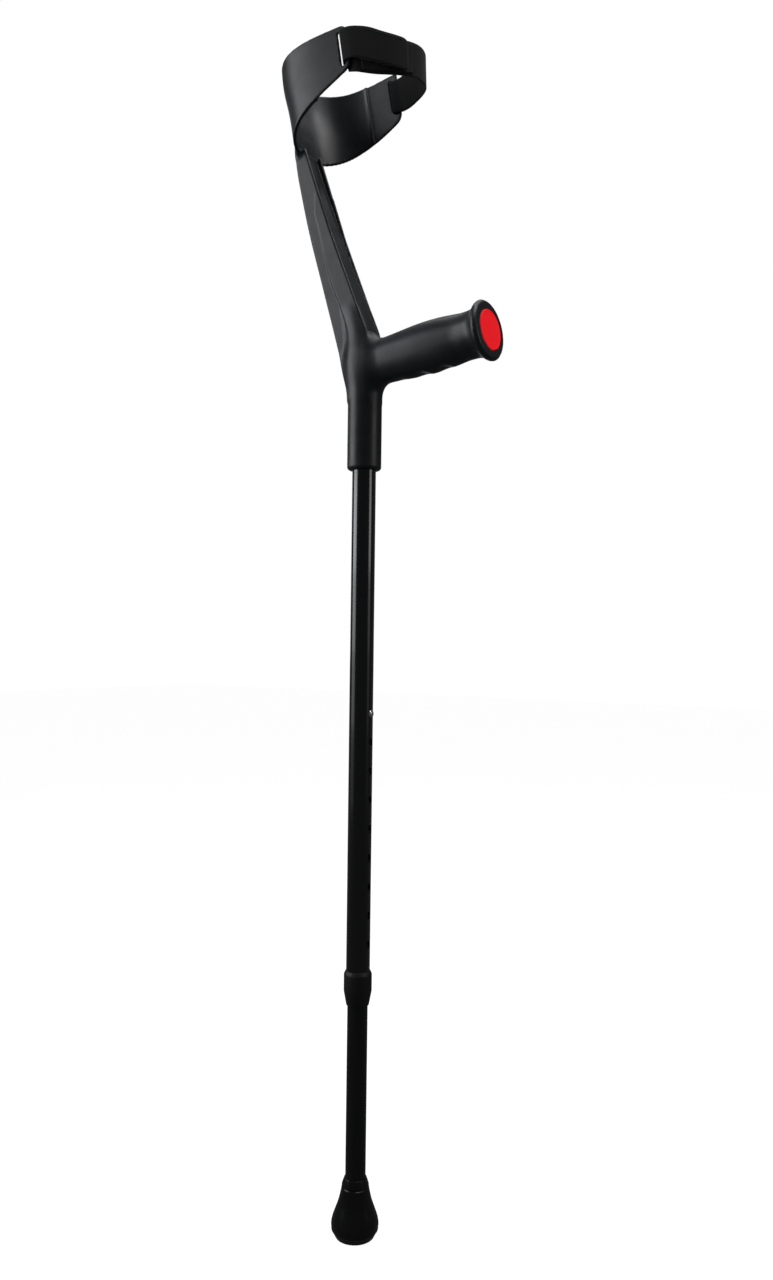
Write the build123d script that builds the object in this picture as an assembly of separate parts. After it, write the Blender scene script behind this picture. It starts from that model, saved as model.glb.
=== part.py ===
from build123d import *
from math import acos, atan2, cos, degrees, hypot, radians, sin, tan
import os

# Forearm crutch: a telescopic aluminium shaft with a rubber ferrule, a one-piece moulded
# sleeve, hand grip, strut and forearm cuff, and a hook-and-loop strap that closes the cuff.
# Millimetres. The origin is the centre of the ferrule's base, +Z runs up the shaft and +X
# points along the hand grip. The shaft is drawn at its shortest setting.

# Shaft
OUTER_TUBE_R = 10.5
INNER_TUBE_R = 9.0
TUBE_WALL = 1.2
HOLE_PITCH = 25.4
HOLE_COUNT = 9
TOP_HOLE_Z = 461.5
BUTTON_R = 3.2
RIVET_R = 2.4
HOLE_R = 3.5
RUNNING_GAP = 0.1

# Heights on the shaft
FERRULE_TOP = 53.0
FERRULE_SOLE = 10.5
FERRULE_SIDE = [(16.6, 0), (20.8, 8.5), (19.6, 18), (14.9, 30.5), (12.2, 41)]
FERRULE_COLLAR = [(12.2, 41), (11.6, 41.4), (11.6, 42.4), (12, 43), (9.8, FERRULE_TOP)]
TREAD_GROOVES = [7.0, 12.0]
TREAD_WIDTH = 1.8
TREAD_DEPTH = 1.6
DISC_THICKNESS = 1.5
COLLAR_BOTTOM = 204.0
COLLAR_TOP = 234.5
SLEEVE_BOTTOM = 676.0
OUTER_TUBE_TOP = 755.0
RIVET_Z = 700.0
COLLAR_R = 12.4
COLLAR_LEDGE = 10.0
SLEEVE_R = 15.1
SLEEVE_EDGE_R = 3.0

# Button, leaf spring and guide bush inside the tubes
BUTTON_PROUD = 2.0
FLANGE_R = 4.0
FLANGE_X = 5.5
FLANGE_THICKNESS = 0.8
STUB_R = 1.5
LEAF_THICKNESS = 0.6
LEAF_WIDTH = 6.4
LEAF_BACK_X = -6.7
LEAF_TOP = 475.0
LEAF_FOLD = 431.0
BUSH_TOP = 494.0

# Hand grip, along an axis that leaves the shaft and tilts up
GRIP_ROOT_Z = 768.0
GRIP_TILT = 6.2
GRIP_LENGTH = 125.6
GRIP_FLANGE_R = 24.8
GRIP_BORE_R = 11.0
GRIP_BORE_DEPTH = 88.0
CAP_R = 16.6
CAP_RECESS = 1.6
CAP_THICKNESS = 2.2
FLANGE_START = GRIP_LENGTH - 22
# distance along the axis, half height, half width
GRIP_SECTIONS = [
    (0, 19.4, 14.4),
    (30, 20.2, 15.6),
    (58, 22.0, 16.6),
    (88, 21.3, 16.6),
    (106, 19.2, 16.4),
]
FINGER_PITCH = 23.0
FIRST_GROOVE = 34.5
GROOVE_COUNT = 4
GROOVE_R = 15.0
GROOVE_FLOOR = 20.1

# Strut: outlines of its back and front seen from the side, and half widths at three heights
STRUT_BACK = [(-11, 738), (-16.8, 757), (-29.2, 800), (-56.2, 891), (-71.5, 955), (-75.4, 988)]
STRUT_FRONT = [(-73, 988), (-69, 968), (-62.1, 970.9), (-32.5, 890), (7, 797), (11, 780), (11, 738)]
STRUT_HALF_WIDTHS = [(10.4, 730), (12.4, 960), (12.4, 1000)]
CHANNEL = [(-60.5, 966.5), (-64.5, 967.5), (-22, 856), (-19.5, 858)]
CHANNEL_HALF_WIDTH = 8.5

# Cuff: level sections all have the same outline, which leans back as it rises
CUFF_LEVEL = 1026.0
CUFF_LEAN = tan(radians(10))
CUFF_CENTRE_X = -35.0
CUFF_R = 46.5
CUFF_BACK_WALL = 3.4
WING_WALL = 2.4
WING_END_Y = 45.3
LOWER_RIM = [(-95, 952.2), (-40, 983.2), (20, 1013.4)]
UPPER_RIM = [(20, 1047.2), (-50, 1042.6), (-95, 1036)]
SLOT_BOTTOM = 1012.2
SLOT_TOP = 1041.8
SLOT_WIDTH = 4.6
SLOT_X = {-1: 2.4, 1: -4.0}
FOLD_X = {-1: 4.7, 1: -2.9}
WING_END_PAST_SLOT = 7.0

# Strap: straight from each slot, then round the front of the forearm
STRAP_THICKNESS = 1.5
STRAP_FRONT_X = 16.0
STRAP_FRONT_R = 35.5
SHOULDER_R = 12.0
STRAP_LOW = 1006.5
STRAP_HIGH = 1035.5
FOLD_LOW = SLOT_BOTTOM + 1
FOLD_HIGH = SLOT_TOP - 1
SOFT_GAP = 0.3
TAIL_END_ANGLE = -25.0
TAIL_SIDE = [(0, 1013.5), (0, 1041.5), (20, 1042), (60, 1031.5), (60, 1003.5), (20, 1013.5)]
FAR_END_ANGLE = 62.0
ROOT_LENGTH = 0.5
TAIL_START = 2.5
LOOP_THICKNESS = 1.3
HOOK_THICKNESS = 1.15
STITCH_THICKNESS = 0.4
STITCH_LENGTH = 2.2
STITCH_PITCH = 3.2
STRAP_INSIDE_Y = WING_END_Y - WING_WALL - 0.1 - STRAP_THICKNESS / 2
STRAP_OUTSIDE_Y = WING_END_Y + SOFT_GAP + STRAP_THICKNESS / 2
LAYER_OFFSET = STRAP_OUTSIDE_Y - STRAP_INSIDE_Y
SHOULDER_X = {hand: x + WING_END_PAST_SLOT + 0.4 for hand, x in SLOT_X.items()}

GRIP_DIRECTION = Vector(cos(radians(GRIP_TILT)), 0, sin(radians(GRIP_TILT)))
GRIP_ROOT = Vector(0, 0, GRIP_ROOT_Z)


# ---------------------------------------------------------------- helpers
def round_bar(radius, bottom, top):
    """Solid cylinder on the shaft axis."""
    return Pos(0, 0, bottom) * extrude(Circle(radius), top - bottom)


def ring(outer_r, inner_r, bottom, top):
    """Round tube on the shaft axis."""
    return Pos(0, 0, bottom) * extrude(Circle(outer_r) - Circle(inner_r), top - bottom)


def rod_along_x(radius, start, end, z):
    """Cylinder along +X at height z."""
    place = Plane((start, 0, z), x_dir=(0, 1, 0), z_dir=(1, 0, 0))
    return extrude(place * Circle(radius), end - start)


def dome(base_r, height, base_x, toward, z):
    """Shallow spherical cap that rises from base_x along +X (toward 1) or -X (toward -1)."""
    sphere_r = (base_r**2 + height**2) / (2 * height)
    half_angle = atan2(base_r, sphere_r - height) / 2
    middle = (sphere_r * sin(half_angle), height - sphere_r * (1 - cos(half_angle)))
    arc = ThreePointArc((base_r, 0), middle, (0, height))
    outline = [Line((0, 0), (base_r, 0)), arc, Line((0, height), (0, 0))]
    cap = revolve(Plane.XZ * make_face(outline), Axis.Z)
    return Pos(base_x, 0, z) * Rot(0, 90 * toward, 0) * cap


def grip_plane(distance):
    """Plane square to the grip's axis; its local Y points up."""
    return Plane(GRIP_ROOT + GRIP_DIRECTION * distance, x_dir=(0, 1, 0), z_dir=GRIP_DIRECTION)


def grip_rod(radius, start, end):
    """Cylinder on the grip's axis."""
    return extrude(grip_plane(start) * Circle(radius), end - start)


def side_slab(points, half_width):
    """Closed XZ outline made as thick as 2 * half_width across Y."""
    outline = make_face(Polyline(*points, close=True))
    return extrude(Plane.XZ * outline, half_width, both=True)


def leaning(face, low, high):
    """Solid whose level sections repeat a plan outline drawn at CUFF_LEVEL and lean back."""
    start = Pos(-CUFF_LEAN * (low - CUFF_LEVEL), 0, low) * face
    direction = Vector(-CUFF_LEAN, 0, 1)
    return extrude(start, (high - low) * direction.length, dir=direction)


# ---------------------------------------------------------------- moulding
def sleeve():
    body = Pos(0, 0, SLEEVE_BOTTOM) * extrude(Circle(SLEEVE_R), GRIP_ROOT_Z + 6 - SLEEVE_BOTTOM)
    return fillet(body.edges().group_by(Axis.Z)[0], SLEEVE_EDGE_R)


def strut():
    """Beam that slopes back from the sleeve to the cuff, with a shallow channel in front."""
    beam = side_slab(STRUT_BACK + STRUT_FRONT, 20)
    right = [(half_width, z) for half_width, z in STRUT_HALF_WIDTHS]
    left = [(-half_width, z) for half_width, z in reversed(STRUT_HALF_WIDTHS)]
    taper = make_face(Polyline(*right, *left, close=True))
    beam &= extrude(Plane.YZ * taper, 100, both=True)
    return beam - side_slab(CHANNEL, CHANNEL_HALF_WIDTH)


def cuff_outline(wall_back, wall_wing):
    """Plan outline of the cuff, inset by the wall; zero insets give its outside."""
    radius = CUFF_R - wall_back
    wing_start = CUFF_R - wall_wing
    wing_end = WING_END_Y - wall_wing
    back, front = CUFF_CENTRE_X, 14.0
    corners = [(back, wing_start), (front, wing_end), (front, -wing_end), (back, -wing_start)]
    wings = make_face(Polyline(*corners, close=True))
    return Pos(CUFF_CENTRE_X, 0) * Circle(radius) + wings


def cuff():
    """Open band behind the forearm, with two flat wings that reach forward to the strap slots."""
    wall = cuff_outline(0, 0) - cuff_outline(CUFF_BACK_WALL, WING_WALL)
    band = leaning(wall, 940, 1060)
    lower = ThreePointArc(*LOWER_RIM)
    upper = ThreePointArc(*UPPER_RIM)
    side = make_face([lower, Line(lower @ 1, upper @ 0), upper, Line(upper @ 1, lower @ 0)])
    band &= extrude(Plane.XZ * side, 60, both=True)
    for hand, slot_x in SLOT_X.items():
        centre_y = hand * WING_END_Y
        beyond = leaning(Pos(slot_x + WING_END_PAST_SLOT + 30, centre_y) * Rectangle(60, 30), 940, 1060)
        slot = leaning(Pos(slot_x, centre_y) * Rectangle(SLOT_WIDTH, 20), SLOT_BOTTOM, SLOT_TOP)
        band = band - beyond - slot
    return band


def grip():
    """Oval grip with finger grooves underneath and a mushroom flange at its end."""
    sections = [grip_plane(where) * Ellipse(wide, high) for where, high, wide in GRIP_SECTIONS]
    body = loft(Sketch() + sections)
    for i in range(GROOVE_COUNT):
        place = grip_plane(FIRST_GROOVE + i * FINGER_PITCH)
        centre = place.origin - place.y_dir * (GROOVE_FLOOR + GROOVE_R)
        body -= extrude(Plane(centre, x_dir=(1, 0, 0), z_dir=(0, 1, 0)) * Circle(GROOVE_R), 30, both=True)
    end = GRIP_LENGTH
    face_plane = Plane(GRIP_ROOT, x_dir=GRIP_DIRECTION, z_dir=(0, 1, 0))
    flare = [(FLANGE_START, 16.0), (end - 13, 18.4), (end - 6.5, 23.0)]
    curve = Spline(*flare, tangents=[(1, 0.05), (0.8, 1)])
    nose = ThreePointArc(curve @ 1, (end - 3.4, GRIP_FLANGE_R - 0.1), (end - 0.4, 20.5))
    closing = Polyline(nose @ 1, (end, CAP_R + 1.2), (end, 0), (FLANGE_START, 0), curve @ 0)
    half_section = face_plane * make_face([curve, nose, *closing.edges()])
    return body + revolve(half_section, Axis(GRIP_ROOT, GRIP_DIRECTION))


def upper_moulding():
    body = sleeve() + strut() + grip() + cuff()
    body -= round_bar(OUTER_TUBE_R, SLEEVE_BOTTOM - 1, OUTER_TUBE_TOP)
    body -= grip_rod(GRIP_BORE_R, GRIP_LENGTH - GRIP_BORE_DEPTH, GRIP_LENGTH + 5)
    body -= grip_rod(CAP_R + 0.3, GRIP_LENGTH - CAP_RECESS, GRIP_LENGTH + 5)
    body -= rod_along_x(RIVET_R, -30, 0, RIVET_Z)
    return body


# ---------------------------------------------------------------- shaft
def outer_tube():
    tube = ring(OUTER_TUBE_R, OUTER_TUBE_R - TUBE_WALL, COLLAR_BOTTOM + COLLAR_LEDGE, OUTER_TUBE_TOP)
    for i in range(HOLE_COUNT):
        tube -= rod_along_x(HOLE_R, 0, 20, TOP_HOLE_Z - i * HOLE_PITCH)
    return tube - rod_along_x(RIVET_R, -30, 0, RIVET_Z)


def sleeve_rivet():
    """Blind rivet that pins the tube in the sleeve, at the back of the shaft."""
    inside = OUTER_TUBE_R - TUBE_WALL
    start, height = -SLEEVE_R - 0.1, 1.6
    shank = rod_along_x(RIVET_R, start, -inside + 2.4, RIVET_Z)
    tail = rod_along_x(RIVET_R + 1.1, -inside + 0.75, -inside + 2.4, RIVET_Z)
    return shank + tail + dome(4.4, height, start, -1, RIVET_Z)


def bottom_collar():
    """Plastic collar on the outer tube's lower end, with a lip that guides the inner tube."""
    lip = INNER_TUBE_R + RUNNING_GAP
    ledge = COLLAR_BOTTOM + COLLAR_LEDGE
    outline = Polyline(
        (lip, COLLAR_BOTTOM),
        (lip + 0.8, COLLAR_BOTTOM),
        (COLLAR_R, COLLAR_BOTTOM + 12),
        (COLLAR_R, COLLAR_TOP - 3),
        (OUTER_TUBE_R + 0.3, COLLAR_TOP),
        (OUTER_TUBE_R, COLLAR_TOP),
        (OUTER_TUBE_R, ledge),
        (lip, ledge),
        close=True,
    )
    return revolve(Plane.XZ * make_face(outline), Axis.Z)


def inner_tube():
    tube = ring(INNER_TUBE_R, INNER_TUBE_R - TUBE_WALL, FERRULE_SOLE + DISC_THICKNESS, BUSH_TOP - 6)
    return tube - rod_along_x(HOLE_R, 0, 20, TOP_HOLE_Z)


def tube_guide_bush():
    """Plastic bush in the inner tube's top end that keeps it central in the outer tube."""
    flange = round_bar(OUTER_TUBE_R - TUBE_WALL - RUNNING_GAP, BUSH_TOP - 6, BUSH_TOP)
    spigot = round_bar(INNER_TUBE_R - TUBE_WALL, BUSH_TOP - 14, BUSH_TOP - 6)
    return flange + spigot - round_bar(5.5, BUSH_TOP - 14, BUSH_TOP)


def button_spring():
    """Spring-steel strip folded into a V, which pushes the button out."""
    front_top, front_low = (FLANGE_X - LEAF_THICKNESS / 2, LEAF_TOP), (3.0, LEAF_FOLD)
    back_low, back_top = (-4.6, LEAF_FOLD), (LEAF_BACK_X, LEAF_TOP)
    front = Line(front_top, front_low)
    bend = TangentArc(front_low, back_low, tangent=front % 1)
    strip = trace([front, bend, Line(back_low, back_top)], LEAF_THICKNESS)
    leaf = extrude(Plane.XZ * strip, LEAF_WIDTH / 2, both=True)
    return leaf - rod_along_x(STUB_R + SOFT_GAP, 0, 20, TOP_HOLE_Z)


def snap_button():
    """Domed steel button with a flange behind the tube wall and a stub through the spring."""
    stub = rod_along_x(STUB_R, FLANGE_X - 1.1, FLANGE_X, TOP_HOLE_Z)
    flange = rod_along_x(FLANGE_R, FLANGE_X + 0.05, FLANGE_X + 0.05 + FLANGE_THICKNESS, TOP_HOLE_Z)
    stub += rod_along_x(STUB_R, FLANGE_X, FLANGE_X + 0.5, TOP_HOLE_Z)
    post = rod_along_x(BUTTON_R, FLANGE_X + 0.5, OUTER_TUBE_R, TOP_HOLE_Z)
    return stub + flange + post + dome(BUTTON_R, BUTTON_PROUD, OUTER_TUBE_R, 1, TOP_HOLE_Z)


def ferrule():
    """Rubber foot: round lip, waist, bulb and a ringed tread."""
    bulb = Spline(*FERRULE_SIDE, tangents=[(1, 0.15), (-0.1, 1)])
    rest = Polyline(
        *FERRULE_COLLAR,
        (INNER_TUBE_R, FERRULE_TOP),
        (INNER_TUBE_R, FERRULE_SOLE),
        (0, FERRULE_SOLE),
        (0, 0),
        FERRULE_SIDE[0],
    )
    body = revolve(Plane.XZ * make_face([bulb, *rest.edges()]), Axis.Z)
    for radius in TREAD_GROOVES:
        body -= ring(radius + TREAD_WIDTH / 2, radius - TREAD_WIDTH / 2, 0, TREAD_DEPTH)
    return body


def ferrule_disc():
    return round_bar(INNER_TUBE_R, FERRULE_SOLE, FERRULE_SOLE + DISC_THICKNESS)


def grip_end_cap():
    """Red disc with a hollow spigot that plugs the grip's bore."""
    seat = GRIP_LENGTH - CAP_RECESS
    disc = grip_rod(CAP_R, seat, seat + CAP_THICKNESS)
    disc = chamfer(disc.edges().sort_by(lambda e: e.center().X)[-1], 0.4)
    spigot = grip_rod(GRIP_BORE_R, seat - 9, seat) - grip_rod(GRIP_BORE_R - 1.6, seat - 9, seat)
    return disc + spigot


# ---------------------------------------------------------------- strap
def leg_angle(hand):
    """Outward direction of a strap leg, which touches the shoulder arc and the front arc."""
    across = -hand * (STRAP_INSIDE_Y - SHOULDER_R)
    along = STRAP_FRONT_X - SHOULDER_X[hand]
    reach = hypot(across, along)
    return degrees(atan2(across, along) + hand * acos((SHOULDER_R - STRAP_FRONT_R) / reach))


def front_arc(offset, start, end):
    return CenterArc((STRAP_FRONT_X, 0), STRAP_FRONT_R + offset, start, end - start)


def shoulder_arc(hand, offset):
    """Turn from beside the wing's end bar to the straight leg."""
    centre = (SHOULDER_X[hand], hand * (STRAP_INSIDE_Y - SHOULDER_R))
    return CenterArc(centre, SHOULDER_R + offset, 90 * hand, leg_angle(hand) - 90 * hand)


def side_run(hand, offset, start):
    """Strap layer from a distance in front of the fold, past the end bar, to the front arc."""
    shoulder = shoulder_arc(hand, offset)
    first = Vector(FOLD_X[hand] + start, hand * (STRAP_INSIDE_Y + offset))
    return [Line(first, shoulder @ 0), shoulder, leg(hand, offset)]


def leg(hand, offset):
    """Straight part of a side run."""
    angle = leg_angle(hand)
    return Line(shoulder_arc(hand, offset) @ 1, front_arc(offset, angle, angle + 1) @ 0)


def fold(hand):
    """Turn through the slot, round the wing's end bar."""
    middle = hand * (STRAP_INSIDE_Y + LAYER_OFFSET / 2)
    inside, outside = hand * STRAP_INSIDE_Y, hand * (STRAP_INSIDE_Y + LAYER_OFFSET)
    x = FOLD_X[hand]
    return ThreePointArc((x, inside), (x - LAYER_OFFSET / 2, middle), (x, outside))


def layer(edges, thickness, low, high):
    return leaning(trace(edges, thickness), low, high)


def strap_webbing():
    """Band from slot to slot, its sewn-back far end and the turn through each slot."""
    round_front = front_arc(0, leg_angle(-1), leg_angle(1))
    around = [*side_run(-1, 0, 0), round_front, *side_run(1, 0, 0)]
    band = layer(around, STRAP_THICKNESS, STRAP_LOW, STRAP_HIGH)
    sewn_front = front_arc(LAYER_OFFSET, leg_angle(1), FAR_END_ANGLE)
    sewn_end = [fold(1), *side_run(1, LAYER_OFFSET, 0), sewn_front]
    near_start = Vector(FOLD_X[-1], -STRAP_INSIDE_Y - LAYER_OFFSET)
    near_root = [fold(-1), Line(near_start, near_start + Vector(ROOT_LENGTH, 0))]
    for edges in (sewn_end, near_root):
        band += layer(edges, STRAP_THICKNESS, FOLD_LOW, FOLD_HIGH)
    return band


def strap_tail():
    """Free end of the strap, folded back over its outside and pressed on to the loop pile."""
    end = front_arc(LAYER_OFFSET, leg_angle(-1), TAIL_END_ANGLE)
    tall = layer([*side_run(-1, LAYER_OFFSET, TAIL_START), end], STRAP_THICKNESS, 995, 1050)
    return tall & side_slab(TAIL_SIDE, 60)


def loop_patch():
    """Loop pile on the outside of the band, under the tail."""
    offset = (STRAP_THICKNESS + LOOP_THICKNESS) / 2
    edges = [leg(-1, offset), front_arc(offset, leg_angle(-1), TAIL_END_ANGLE + 12)]
    return layer(edges, LOOP_THICKNESS, 1009, 1034)


def hook_patch():
    """Hook pad on the inside of the tail's end."""
    offset = LAYER_OFFSET - (STRAP_THICKNESS + HOOK_THICKNESS) / 2
    edges = [leg(-1, offset), front_arc(offset, leg_angle(-1), TAIL_END_ANGLE + 1)]
    return layer(edges, HOOK_THICKNESS, 1014.5, 1031.5)


def strap_end_stitches():
    """Two upright rows of thread that hold the sewn-back far end."""
    offset = LAYER_OFFSET + (STRAP_THICKNESS + STITCH_THICKNESS) / 2
    line = leg(1, offset)
    stitches = Part()
    for where in (0.1, 0.8):
        edge = Line(line @ where, line @ (where + 0.6 / line.length))
        for i in range(8):
            low = FOLD_LOW + 2 + i * STITCH_PITCH
            stitches += layer([edge], STITCH_THICKNESS, low, low + STITCH_LENGTH)
    return stitches


def tail_stitches():
    """Two rows of thread along the hook pad, on the outside of the tail."""
    offset = LAYER_OFFSET + (STRAP_THICKNESS + STITCH_THICKNESS) / 2
    step = degrees(STITCH_PITCH / (STRAP_FRONT_R + offset))
    length = degrees(STITCH_LENGTH / (STRAP_FRONT_R + offset))
    stitches = Part()
    for low in (1015.0, 1030.0):
        for i in range(8):
            start = TAIL_END_ANGLE - 2 - length - i * step
            stitches += layer([front_arc(offset, start, start + length)], STITCH_THICKNESS, low, low + 0.6)
    return stitches


PARTS = [
    upper_moulding,
    grip_end_cap,
    outer_tube,
    sleeve_rivet,
    bottom_collar,
    inner_tube,
    tube_guide_bush,
    button_spring,
    snap_button,
    ferrule,
    ferrule_disc,
    strap_webbing,
    strap_tail,
    loop_patch,
    hook_patch,
    strap_end_stitches,
    tail_stitches,
]


def main():
    os.makedirs("parts", exist_ok=True)
    for make_part in PARTS:
        export_step(make_part(), f"parts/{make_part.__name__}.step")


main()
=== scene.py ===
"""Forearm crutch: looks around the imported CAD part.

Lengths are in millimetres until a mesh is made. For hands and their keys, -1 is the near side
and 1 the far side.
"""

from math import acos, atan2, cos, degrees, hypot, pi, radians, sin, tan

import bpy
import numpy as np
from mathutils import Matrix, Vector


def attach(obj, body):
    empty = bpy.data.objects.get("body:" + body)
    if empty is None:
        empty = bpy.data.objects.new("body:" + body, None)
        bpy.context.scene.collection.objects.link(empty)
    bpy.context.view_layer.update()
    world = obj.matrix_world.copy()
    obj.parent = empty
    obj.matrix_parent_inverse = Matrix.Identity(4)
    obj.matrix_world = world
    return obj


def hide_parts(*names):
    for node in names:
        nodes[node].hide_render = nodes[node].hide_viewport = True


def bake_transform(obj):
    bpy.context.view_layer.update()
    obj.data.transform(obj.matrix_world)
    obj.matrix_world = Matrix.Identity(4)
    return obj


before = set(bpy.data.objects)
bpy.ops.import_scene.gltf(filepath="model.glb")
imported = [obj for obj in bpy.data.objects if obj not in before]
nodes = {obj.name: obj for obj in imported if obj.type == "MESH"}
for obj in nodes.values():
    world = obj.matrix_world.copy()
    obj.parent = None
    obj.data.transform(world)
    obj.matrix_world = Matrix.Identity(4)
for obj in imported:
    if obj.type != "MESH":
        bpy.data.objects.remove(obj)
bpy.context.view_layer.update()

MM = 0.001

# Sizes shared with the CAD source
OUTER_TUBE_R = 10.5
INNER_TUBE_R = 9.0
SLEEVE_R = 15.1
SLEEVE_BOTTOM = 676.0
OUTER_TUBE_TOP = 755.0
RIVET_Z = 700.0
RIVET_R = 2.4
BUTTON_Z = 461.5
COLLAR_BOTTOM = 204.0
COLLAR_TOP = 234.5
COLLAR_R = 12.4
FERRULE_SOLE = 10.5
GRIP_ROOT_Z = 768.0
GRIP_TILT = radians(6.2)
GRIP_LENGTH = 125.6
GRIP_FLANGE_R = 24.8
GRIP_BORE_R = 11.0
GRIP_BORE_DEPTH = 88.0
CAP_R = 16.6
CAP_RECESS = 1.6
CUFF_LEVEL = 1026.0
CUFF_LEAN = tan(radians(10))
CUFF_CENTRE_X = -35.0
CUFF_R = 46.5
CUFF_BACK_WALL = 3.4
WING_WALL = 2.4
WING_END_Y = 45.3
WING_END_PAST_SLOT = 7.0
SLOT_BOTTOM, SLOT_TOP = 1012.2, 1041.8
STRAP_THICKNESS = 1.5
STRAP_INSIDE_Y = WING_END_Y - WING_WALL - 0.1 - STRAP_THICKNESS / 2
LAYER_OFFSET = WING_WALL + 0.4 + STRAP_THICKNESS
STRAP_FRONT_X = 16.0
SHOULDER_R = 12.0

# Sizes fitted to the photo again after the CAD was packed
FERRULE_TOP = 51.8
STEP_X = -29.0
SLOT_X = {-1: 2.85, 1: -4.0}
SLOT_WIDTH = {-1: 3.7, 1: 4.6}
STRAP_FRONT_R = 36.2
FOLD_X = {-1: 5.6, 1: -2.9}
SHOULDER_X = {hand: x + WING_END_PAST_SLOT + 0.4 for hand, x in SLOT_X.items()}

# Strut and sleeve
STRUT_BOTTOM, STRUT_TOP = 738, 987
SLEEVE_TOP = 822
BEAM_TOP = 930
CHANNEL_BOTTOM = 796
BACK_SLOPE, FRONT_SLOPE = 0.95, 0.94  # turn level distances into ones roughly square to a face
TUBE_CLEARANCE = 0.05

# Grip
GRIP_ROOT_REACH = 15
GRIP_LIP_R = 3.3
FLARE_START = 89
FINGER_GROOVES = 4
GROOVE_FIRST, GROOVE_PITCH = 34.5, 23.0
GROOVE_R, GROOVE_DROP = 15.0, 34.9
CAP_CLEARANCE = 0.3

# Cuff
CUFF_EASING = 30.0
WING_REACH = 49
RIDGE_HEIGHT, RIDGE_WIDTH, RIDGE_BEHIND_STEP = 0.9, 1.7, 1.2
CUFF_EDGE_R = 1.05

# Strap
LINE_STEP = 1.4
SEWN_OFFSET = 1.62
SEWN_END_ANGLE = 60.0
TAIL_END_ANGLE = -25
FAR_FOLD_RISE = 2.6, 2.4  # of the lower and the upper edge
NEAR_FOLD_EDGES = 1009.5, 1038.5
NEAR_FOLD_RISE = 4.6, 4.8
PATCH_INSET = 2.4
THREAD_R = 0.22


# ---------------------------------------------------------------- curves and meshes
def smooth_curve(knots, values):
    """Natural cubic through the points, level beyond both ends."""
    x, y = np.asarray(knots, float), np.asarray(values, float)
    step = np.diff(x)
    slope = np.diff(y) / step
    system, right = np.eye(len(x)), np.zeros(len(x))
    for i in range(1, len(x) - 1):
        system[i, i - 1 : i + 2] = step[i - 1], 2 * (step[i - 1] + step[i]), step[i]
        right[i] = 6 * (slope[i] - slope[i - 1])
    bend = np.linalg.solve(system, right)

    def value(at):
        at = np.clip(at, x[0], x[-1])
        i = np.clip(np.searchsorted(x, at) - 1, 0, len(x) - 2)
        a, b = (x[i + 1] - at) / step[i], (at - x[i]) / step[i]
        curved = ((a**3 - a) * bend[i] + (b**3 - b) * bend[i + 1]) * step[i] ** 2 / 6
        return a * y[i] + b * y[i + 1] + curved

    return value


def bent_line(knots, values, blur):
    """Straight stretches between the points, with the corners softened over a distance."""
    shifts = (-1, -0.5, 0, 0.5, 1)
    return lambda at: sum(np.interp(at + k * blur, knots, values) for k in shifts) / len(shifts)


def add_mesh(name, points, faces, material, uvs=None):
    """Smooth-shaded mesh object from points in millimetres."""
    mesh = bpy.data.meshes.new(name)
    mesh.from_pydata((np.asarray(points, float) * MM).tolist(), [], faces)
    mesh.validate()
    mesh.shade_smooth()
    if uvs is not None:
        layer = mesh.uv_layers.new(name="weave")
        for loop in mesh.loops:
            layer.data[loop.index].uv = uvs[loop.vertex_index]
    mesh.materials.append(material)
    obj = bpy.data.objects.new(name, mesh)
    bpy.context.scene.collection.objects.link(obj)
    return obj


def softened(corners, radius):
    """Open profile with its inner corners replaced by short curves."""
    corners = [np.asarray(c, float) for c in corners]
    points = [corners[0]]
    for before, corner, after in zip(corners, corners[1:], corners[2:]):
        into, out = before - corner, after - corner
        cut = min(radius, 0.45 * np.linalg.norm(into), 0.45 * np.linalg.norm(out))
        start = corner + into / np.linalg.norm(into) * cut
        end = corner + out / np.linalg.norm(out) * cut
        for t in np.linspace(0, 1, 5):
            points.append((1 - t) ** 2 * start + 2 * t * (1 - t) * corner + t**2 * end)
    points.append(corners[-1])
    return points


def lathe(profile, axis=(0, 0, 1), origin=(0, 0, 0), segments=96):
    """Points and faces of a profile of (radius, distance along the axis) turned about the axis."""
    turn = Vector((0, 0, 1)).rotation_difference(Vector(axis)).to_matrix()
    points, rings, faces = [], [], []
    for radius, along in profile:
        if radius < 1e-6:
            rings.append([len(points)] * segments)
            points.append(turn @ Vector((0, 0, along)) + Vector(origin))
            continue
        rings.append(list(range(len(points), len(points) + segments)))
        for i in range(segments):
            angle = 2 * pi * i / segments
            local = Vector((radius * cos(angle), radius * sin(angle), along))
            points.append(turn @ local + Vector(origin))
    for low, high in zip(rings, rings[1:]):
        for i in range(segments):
            j = (i + 1) % segments
            corners = list(dict.fromkeys((low[i], low[j], high[j], high[i])))
            if len(corners) > 2:
                faces.append(corners)
    return [tuple(p) for p in points], faces


# ---------------------------------------------------------------- materials
def srgb(*levels):
    """Linear colour from display levels of 0 to 255."""
    linear = [v / 255 / 12.92 if v <= 10 else ((v / 255 + 0.055) / 1.055) ** 2.4 for v in levels]
    return (*linear, 1.0)


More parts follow.
